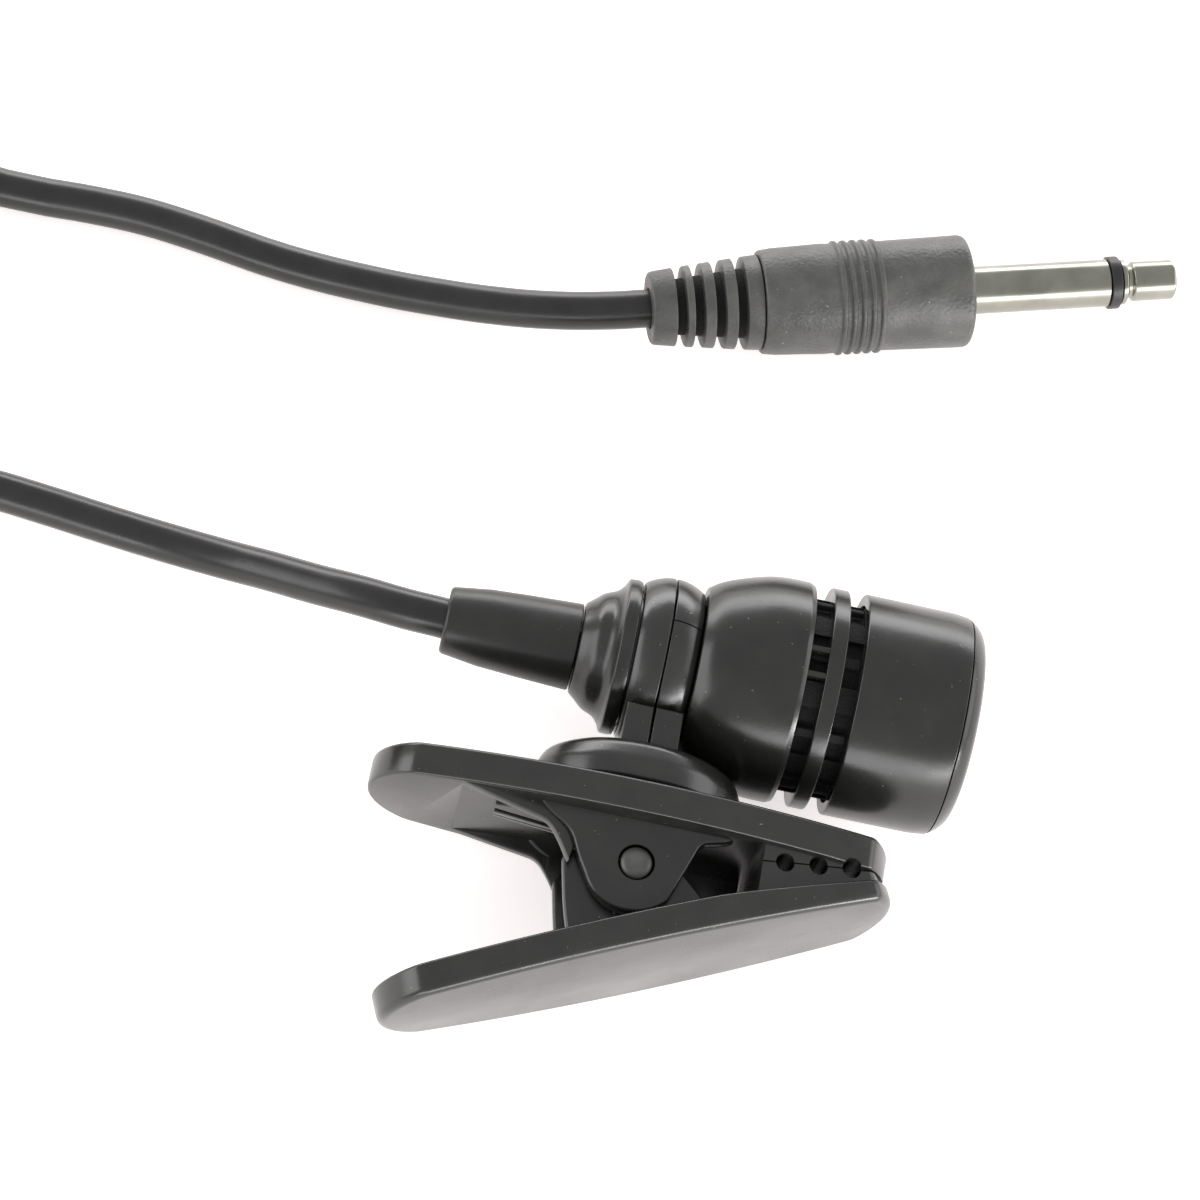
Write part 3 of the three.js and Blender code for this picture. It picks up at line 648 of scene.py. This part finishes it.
def end_arc(corner, tip, inset, steps=14):
    half = half_width(corner, inset)
    rise = abs(tip - corner) - inset
    radius = (half ** 2 + rise ** 2) / (2 * rise)
    reach = math.asin(half / radius)
    side = 1 if tip > corner else -1
    angles = [reach * (1 - 2 * i / steps) * side for i in range(1, steps)]
    middle = rise - radius
    return [(corner + side * (middle + radius * math.cos(a)), -radius * math.sin(a)) for a in angles]


def arm_outline(inset=0.0, steps=20):
    xs = [REAR_CORNER + (FRONT_CORNER - REAR_CORNER) * i / steps for i in range(steps + 1)]
    near = [(x, -half_width(x, inset)) for x in xs]
    far = [(x, half_width(x, inset)) for x in reversed(xs)]
    for side in (near, far):
        side[0], side[-1] = (*side[0], 0.7), (*side[-1], 0.7)
    front = end_arc(FRONT_CORNER, ARM_FRONT, inset)
    rear = end_arc(REAR_CORNER, ARM_REAR, inset)
    return fillet([*near, *front, *far, *rear], 4)


def arc(x, y, radius, start, stop, steps):
    angles = [math.radians(start + (stop - start) * i / steps) for i in range(steps + 1)]
    return [(x + radius * math.cos(a), y + radius * math.sin(a)) for a in angles]


def pair_of(outline, span, rim=0.14):
    return [prism(outline, span[0], span[1], "z", rim), prism(outline, -span[1], -span[0], "z", rim)]


def bite_slab(side):
    """The half of space above (1) or below (-1) the plane where the jaws meet."""
    def edge(x):
        return BITE_HEIGHT + BITE_SLOPE * x + side * 0.05
    return prism([(JAW_START, edge(JAW_START)), (20, edge(20)), (20, edge(20) + side * 12),
                  (JAW_START, edge(JAW_START) + side * 12)], -8, 8, "z", 0.001, 1)


def tooth_holes():
    xs = [FIRST_TOOTH + i * TOOTH_PITCH for i in range(3)]
    return [bar_z(x, BITE_HEIGHT + BITE_SLOPE * x, TOOTH_R, 8) for x in xs]


def rear_rib(side):
    lower_edge = [(-8.4, 3.0), (-4.7, 2.3, 1.0), (-1.4, 1.7, 0.8), (-0.55, 0.7, 0.6), (0.3, -0.6), (0.9, 3.0)]
    rib = prism(fillet(lower_edge), -0.4, 0.4, "z", 0.1)
    turn = Matrix.Rotation(side * math.radians(7.5), 4, "Y")
    return moved(rib, Matrix.Translation((-4.6, 0, side * 3.95)) @ turn)


def upper_arm():
    plate = prism(arm_outline(), *UPPER_FACE, "y", 0.22, top_rim=0.3)
    jaw = combine(prism(arm_outline(JAW_INSET), 0, UPPER_FACE[0] + 0.2, "y", 0.05),
                  [bite_slab(1)], "INTERSECT")
    ear = [(-7.2, 3.2), (-6.2, 2.3, 0.8), (-4.5, 1.35, 0.8), (-3.8, -0.2, 0.5),
           *arc(-0.1, 0, 3.3, 205, 320, 28), (3.95, 2.15, 0.45), (5.7, 2.6, 0.6), (6.4, 3.2)]
    web_edge = [(2.6, 3.0), (3.0, 0.6, 0.4), (5.6, 0.3, 0.8), (7.6, 0.9, 0.3), (7.6, 3.0)]
    web = prism(fillet(web_edge), -UPPER_EARS[1], -UPPER_EARS[0])
    extras = [jaw, *pair_of(fillet(ear), UPPER_EARS, 0.22), rear_rib(1), rear_rib(-1), web]
    solid = combine(plate, extras, "UNION")
    base_x = (HOLDER.translation - UPPER.translation).dot(HEAD_AXIS) / MM
    hole = moved(lathe([(0, 0), (0, 1.55), (8, 1.55), (8, 0)], 48),
                 Matrix.Translation((base_x, 1, 0)) @ QUARTER_Z)
    recess = moved(lathe([(0, 0), (0, 2.5), (1.85, 2.5), (1.85, 0)], 48),
                   Matrix.Translation((base_x, 1.8, 0)) @ QUARTER_Z)
    below = moved(bite_slab(-1), Matrix.Translation((0, 0.1, 0)))
    return combine(solid, [hole, recess, below, bar_z(0, 0, PIN_HOLE_R, 8), *tooth_holes()], "DIFFERENCE")


def lower_arm():
    back = Matrix.Rotation(-math.radians(ARM_GAP), 4, "Z")
    plate = prism(arm_outline(), *LOWER_FACE, "y", 0.55, 5, top_rim=0.22)
    for vert in plate.verts:
        if vert.co.y > sum(LOWER_FACE) / 2 and vert.co.x > THIN_FROM:
            vert.co.y -= THIN_RATE * (vert.co.x - THIN_FROM)
    jaw = combine(prism(arm_outline(JAW_INSET), LOWER_FACE[0] + 0.5, 1, "y", 0.05),
                  [moved(bite_slab(-1), back)], "INTERSECT")
    ear = [(-5.3, -3.9), (4.4, -3.9), *arc(0, 0, 2.45, 30, 95, 20), (-4.25, 2.05, 0.5), (-5.0, -1.4, 1.0)]
    solid = combine(plate, [jaw, *pair_of(fillet(ear), LOWER_EARS, 0.2)], "UNION")
    above = moved(bite_slab(1), back @ Matrix.Translation((0, -0.1, 0)))
    holes = [moved(hole, back) for hole in tooth_holes()]
    return combine(solid, [above, bar_z(0, 0, PIN_HOLE_R, 8), *holes], "DIFFERENCE")


def spring_line():
    """One leg on each arm's inner face, behind the pin, and the coil between them."""
    gap = math.radians(ARM_GAP)

    def spin(x, y):
        return x * math.cos(gap) - y * math.sin(gap), x * math.sin(gap) + y * math.cos(gap)

    points = [(*spin(-9.5, -3.15), -SPRING_HALF), (*spin(-4.75, -2.35), -SPRING_HALF)]
    start, sweep_angle, count = -90 + ARM_GAP, 180 - ARM_GAP + 360 * SPRING_TURNS, 54
    for i in range(count + 1):
        a = math.radians(start + sweep_angle * i / count)
        z = -SPRING_HALF + 2 * SPRING_HALF * i / count
        points.append((SPRING_R * math.cos(a), SPRING_R * math.sin(a), z))
    return [*points, (-4.75, 2.0, SPRING_HALF), (-9.5, 2.42, SPRING_HALF)]


def make_clip():
    piece("upper_arm_skin", upper_arm(), UPPER, "clip_upper", "clip", ["upper_arm"])
    piece("lower_arm_skin", lower_arm(), LOWER, "clip_lower", "clip", ["lower_arm"])
    pin = [(-PIN_HALF, 0), (-PIN_HALF, 0.75, 0.2), (0.25 - PIN_HALF, PIN_R, 0.15),
           (PIN_HALF - 0.25, PIN_R, 0.15), (PIN_HALF, 0.75, 0.2), (PIN_HALF, 0)]
    turn = Matrix.Rotation(math.radians(-90), 4, "Y")
    piece("pivot_pin_skin", moved(lathe(pin, 64), turn), UPPER, "clip_upper", "pin", ["pivot_pin"])
    spring = piece("clip_spring", sweep(spring_line(), WIRE_R, 12, 4), UPPER, None, "steel",
                   ["torsion_spring"])
    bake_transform(spring)


make_clip()


# ---- plug -----------------------------------------------------------------------------
BARREL_BACK = -15.2
BARREL_R = 4.08
GRIP_R = 3.98
BOOT_BACK_R = 2.6
BOOT_TAPER = 0.105
BOOT_GROOVES = (-21.1, -19.85, -18.35, -16.8)
GROOVE_DEPTH = 0.95
GRIPS, FIRST_GRIP, GRIP_PITCH = 5, -9.6, 0.7
SHAFT_R = 1.74


def barrel_profile():
    grips = []
    for i in range(GRIPS):
        v = FIRST_GRIP + GRIP_PITCH * i
        grips += [(v - 0.22, GRIP_R - 0.04, 0.04), (v - 0.1, GRIP_R + 0.14, 0.06),
                  (v + 0.1, GRIP_R + 0.14, 0.06), (v + 0.22, GRIP_R - 0.04, 0.04)]
    outer = [(BARREL_BACK, 2.8, 0.05), (BARREL_BACK, 3.72, 0.2), (-14.2, 3.84), (-12.2, 3.91),
             (-10.6, GRIP_R)]
    return [*outer, *grips, (0, BARREL_R, 0.6), (0, 1.89, 0.08), (-1.2, 1.89), (-1.2, 3.0),
            (BARREL_BACK + 1.9, 3.0), (BARREL_BACK + 1.9, 2.8)]


def boot_profile():
    outer = [(BOOT_BACK + 2.6, 0), (BOOT_BACK + 2.6, 1.45), (BOOT_BACK, 1.48, 0.1),
             (BOOT_BACK, BOOT_BACK_R, 0.3)]
    for v in BOOT_GROOVES:
        r = BOOT_BACK_R + (v - BOOT_BACK) * BOOT_TAPER
        bottom = r - GROOVE_DEPTH
        outer += [(v - 0.38, r, 0.08), (v - 0.32, bottom, 0.08), (v + 0.32, bottom, 0.08),
                  (v + 0.38, r + 0.07, 0.08)]
    front = BARREL_BACK - 0.08
    return [*outer, (front, 3.43, 0.1), (front, 2.7), (front + 1.8, 2.7), (front + 1.8, 0)]


def groove_shade_profile():
    """A near-black matte sleeve that shows at the bottom of the boot's grooves: painted shade there."""
    start, stop = BOOT_GROOVES[0] - 0.6, BOOT_GROOVES[-1] + 0.6
    ends = [BOOT_BACK_R + (v - BOOT_BACK) * BOOT_TAPER - 0.8 for v in (start, stop)]
    return [(start, 0), (start, ends[0]), (stop, ends[1]), (stop, 0)]


def make_plug():
    parts = [
        # Painted shade: a near-black matte sleeve at the bottom of the boot's grooves.
        ("plug_groove_painted_shade", groove_shade_profile(), False, "cloth", "plug_body", None, 96),
        ("plug_barrel_skin", barrel_profile(), True, "plug_body", "plug_body", "plug_barrel", 128),
        ("plug_boot_skin", boot_profile(), False, "plug_body", "plug_body", "plug_boot", 112),
        ("plug_sleeve_skin", [
            (-2.3, 1.3), (-2.3, 2.7), (-1.4, 2.7), (-1.4, SHAFT_R), (10.5, SHAFT_R, 0.08), (10.5, 1.3),
        ], True, "nickel", "nickel", "plug_sleeve", 96),
        ("plug_insulator_skin", [
            (-3.4, 0.8), (-3.4, 1.2), (10.55, 1.2), (10.55, 1.92, 0.08), (11.3, 1.92, 0.08), (11.3, 0.8),
        ], True, "insulator", "black_wire", "plug_insulator", 96),
        ("plug_tip_skin", [
            (-4.4, 0), (-4.4, 0.7), (11.45, 0.7), (11.45, 1.66, 0.08), (11.8, 1.64, 0.1), (11.97, 1.2, 0.1),
            (12.2, 1.2, 0.1), (12.4, 1.45, 0.1), (15.35, 1.45, 0.25), (15.5, 1.2, 0.05), (15.5, 0),
        ], False, "nickel", "nickel", "plug_tip", 96),
    ]
    made = []
    for name, profile, closed, finish, slot, node, segments in parts:
        nodes = [node] if node else []
        made.append(piece(name, lathe(profile, segments, closed), PLUG, "head", finish, nodes))
    return made


plug_pieces = make_plug()


# ---- the CAD nodes that stay visible ------------------------------------------------------
INNER = {
    "front_foam": "foam", "capsule_boot": "relief", "capsule_can": "can", "capsule_felt": "foam",
    "capsule_board": "board", "signal_wire": "red", "ground_wire": "insulator",
    "plug_ground_lug": "brass", "plug_tip_lug": "brass",
}
for node, finish in INNER.items():
    mesh = frame["nodes"][node].data
    mesh.materials.clear()
    mesh.materials.append(FINISH[finish])


# ---- stage ----------------------------------------------------------------------------
def softbox(name, position, target, size, power):
    data = bpy.data.lights.new(name, "AREA")
    data.shape = "RECTANGLE"
    data.size, data.size_y = size
    data.energy = power
    light = bpy.data.objects.new(name, data)
    light.location = position
    light.rotation_euler = (Vector(target) - Vector(position)).to_track_quat("-Z", "Y").to_euler()
    SCENE.collection.objects.link(light)


FLOOR_SIZE = 1.5
FLOOR_DROP = 0.00002


def make_stage():
    bm = bmesh.new()
    bmesh.ops.create_grid(bm, x_segments=1, y_segments=1, size=FLOOR_SIZE)
    floor = to_object(moved(bm, Matrix.Translation((0, 0, -FLOOR_DROP))), "floor")
    floor.data.materials.append(finish_of("paper", (0.9, 0.865, 0.86), (0.94, 0.905, 0.9), (0.8, 0.9),
                                          bump=0.02, patch=4.0))
    shader = floor.data.materials[0].node_tree.nodes["Principled BSDF"]
    shader.inputs["Emission Color"].default_value = (1, 0.95, 0.94, 1)
    shader.inputs["Emission Strength"].default_value = 0.6
    world = bpy.data.worlds.new("world")
    world.use_nodes = True
    background = world.node_tree.nodes["Background"]
    background.inputs["Color"].default_value = (1.0, 1.0, 1.0, 1)
    background.inputs["Strength"].default_value = 0.7
    SCENE.world = world
    SCENE.view_settings.view_transform = "Standard"
    softbox("right", (0.85, 0.0, 0.36), (0, 0, 0), (0.9, 0.5), 3.2)
    softbox("left", (-0.85, 0.1, 0.3), (0, 0, 0), (0.9, 0.45), 4.0)
    softbox("front", (0.05, -0.9, 0.22), (0, 0, 0), (1.6, 0.36), 8.0)
    softbox("back", (0.05, 0.85, 0.16), (0, 0, 0), (1.5, 0.3), 7.0)
    softbox("strip", (0.22, -0.62, 0.17), (0, 0, 0), (0.5, 0.04), 0.9)
    softbox("glint", (0.6, -0.54, 0.14), (0, 0, 0), (0.2, 0.12), 2.6)


make_stage()
